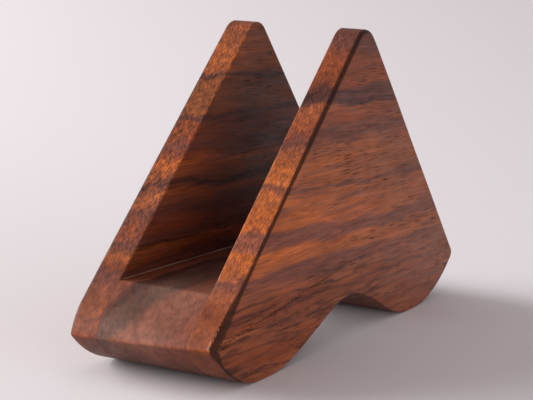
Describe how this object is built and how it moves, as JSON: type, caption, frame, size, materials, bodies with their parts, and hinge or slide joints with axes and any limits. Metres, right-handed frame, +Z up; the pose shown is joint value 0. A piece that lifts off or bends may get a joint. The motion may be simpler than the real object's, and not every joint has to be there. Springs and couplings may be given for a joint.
{
  "type": "dip pen holder",
  "caption": "Desk stand for a dip pen: gable-shaped hardwood cheeks either side of a low block leave an open channel above an arched, footed base.",
  "frame": {"origin": "on the desk, under the middle of the stand: centre of the bounding box's bottom face", "axes": "+Z up; +X across the three boards, towards the right cheek; Y along the channel, with the front, where the pen is laid in, at -Y"},
  "size_m": [0.0288, 0.1075, 0.0595],
  "materials": {
    "cheek_wood": "oiled rosewood, satin, open pores along Y",
    "block_wood": "oiled rosewood, satin, darker heartwood band",
    "glue": "set wood glue, satin"
  },
  "bodies": {
    "root": {"left_cheek": "cheek_wood", "right_cheek": "cheek_wood", "centre_block": "block_wood", "left_glue_line": "glue", "right_glue_line": "glue"}
  },
  "joints": []
}
